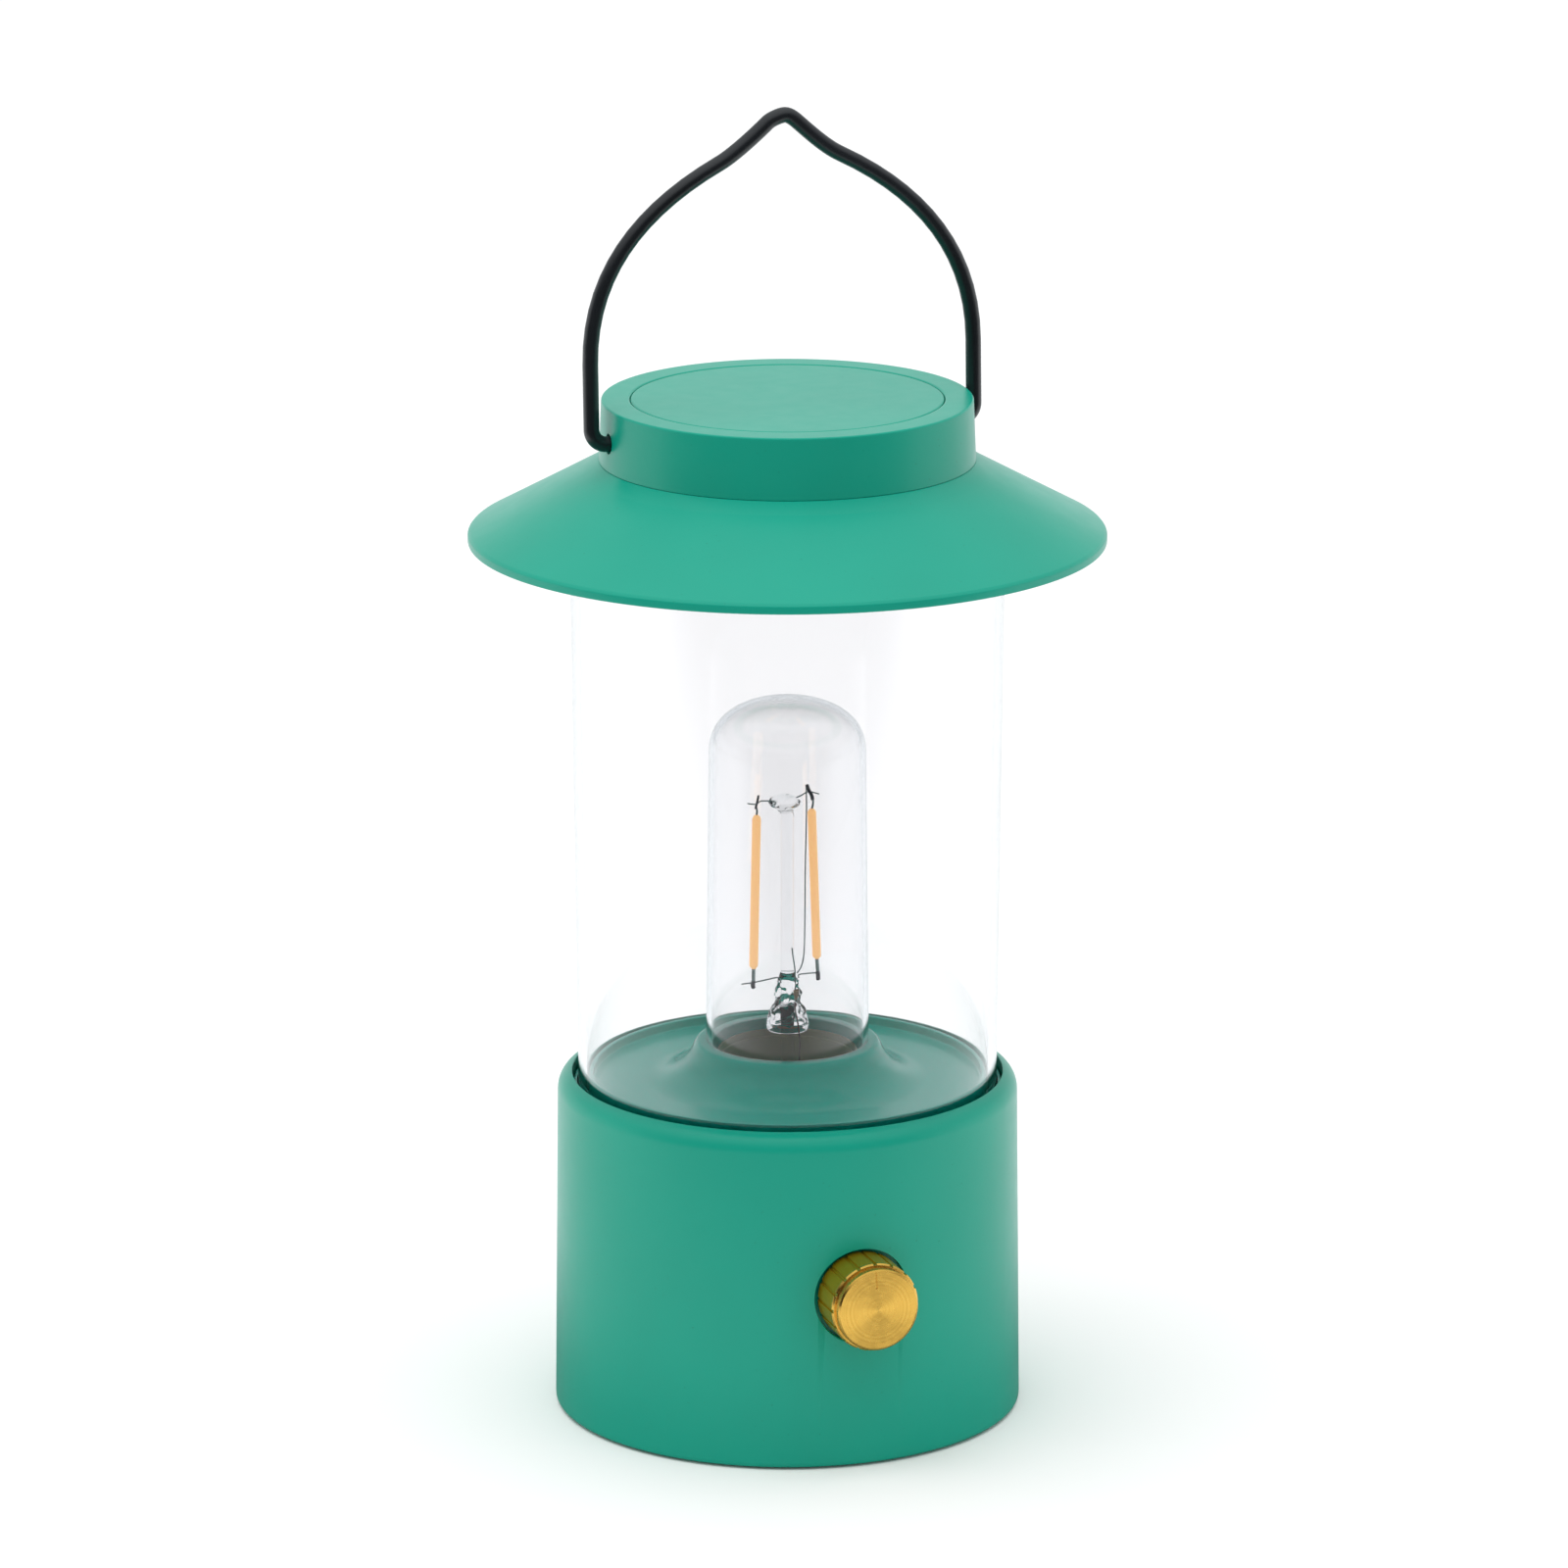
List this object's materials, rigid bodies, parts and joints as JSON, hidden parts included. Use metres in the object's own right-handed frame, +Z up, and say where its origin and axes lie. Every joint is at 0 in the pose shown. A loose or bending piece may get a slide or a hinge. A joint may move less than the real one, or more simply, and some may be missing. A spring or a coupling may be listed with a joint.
{
  "type": "camping lantern",
  "caption": "Standing and hanging battery lantern with a round base, dimmer knob, clear chimney round a filament lamp, conical shade and wire bail handle.",
  "frame": {"origin": "on the floor, under the middle of the base", "axes": "+Z up, -Y towards the dimmer knob, X along the handle's pivot line"},
  "size_m": [0.1196, 0.1196, 0.2501],
  "materials": {
    "green_plastic": "satin moulded, fine texture",
    "gold_aluminium": "anodised gold, spun face",
    "black_enamel": "gloss black",
    "clear_plastic": "clear, polished",
    "lamp_glass": "clear, fire polished",
    "clear_silicone": "translucent",
    "white_plastic": "satin",
    "plated_steel": "plated",
    "brass": "turned",
    "dull_zinc": "dull, olive grey",
    "phosphor": "amber coating",
    "board_laminate": "solder mask",
    "black_component": "moulded",
    "black_rubber": "matt",
    "red_insulation": "smooth",
    "black_insulation": "smooth",
    "cell_sleeve": "printed sleeve, plain"
  },
  "bodies": {
    "lantern": {"base_screw_1": "plated_steel", "base_screw_2": "plated_steel", "base_screw_3": "plated_steel", "base_screw_4": "plated_steel", "base_shell": "green_plastic", "battery_cell_1": "cell_sleeve", "battery_cell_2": "cell_sleeve", "battery_cell_3": "cell_sleeve", "battery_wire_black": "black_insulation", "battery_wire_red": "red_insulation", "bottom_cover": "green_plastic", "bottom_wire_left": "plated_steel", "bottom_wire_right": "plated_steel", "bulb_dome": "clear_plastic", "cap_disc": "green_plastic", "cap_screw_1": "plated_steel", "cap_screw_2": "plated_steel", "cap_screw_3": "plated_steel", "chimney": "clear_plastic", "contact_plate_1": "plated_steel", "contact_plate_2": "plated_steel", "contact_plate_3": "plated_steel", "contact_plate_4": "plated_steel", "contact_spring_1": "plated_steel", "contact_spring_2": "plated_steel", "contact_spring_3": "plated_steel", "driver_board": "board_laminate", "driver_capacitor": "plated_steel", "driver_chip": "black_component", "driver_inductor": "black_component", "filament_left": "phosphor", "filament_right": "phosphor", "glass_stem": "lamp_glass", "lamp_cup": "dull_zinc", "lamp_insulator": "white_plastic", "lamp_wire_black": "black_insulation", "lamp_wire_red": "red_insulation", "lower_seal": "clear_silicone", "pot_body": "plated_steel", "pot_cable": "black_insulation", "pot_nut": "plated_steel", "pot_washer": "plated_steel", "reflector": "white_plastic", "return_wire": "plated_steel", "rubber_foot_1": "black_rubber", "rubber_foot_2": "black_rubber", "rubber_foot_3": "black_rubber", "rubber_foot_4": "black_rubber", "shade": "green_plastic", "top_cap": "green_plastic", "top_wire_left": "plated_steel", "top_wire_right": "plated_steel", "tray": "green_plastic", "upper_seal": "clear_silicone"},
    "handle": {"handle": "black_enamel"},
    "knob": {"knob": "gold_aluminium", "knob_set_screw": "plated_steel", "pot_shaft": "brass"},
    "battery_door": {"battery_door": "green_plastic"}
  },
  "joints": [
    {"name": "handle_swing", "type": "hinge", "parent": "lantern", "child": "handle", "pos_m": [0, 0, 0.1893], "axis": [1, 0, 0], "range_deg": [-101, 105]},
    {"name": "knob_turn", "type": "hinge", "parent": "lantern", "child": "knob", "pos_m": [0, -0.0424, 0.0334], "axis": [0, -1, 0], "range_deg": [-150, 150]},
    {"name": "battery_door_lift", "type": "slide", "parent": "lantern", "child": "battery_door", "axis": [0, 0, -1], "range_m": [0, 0.03]}
  ]
}
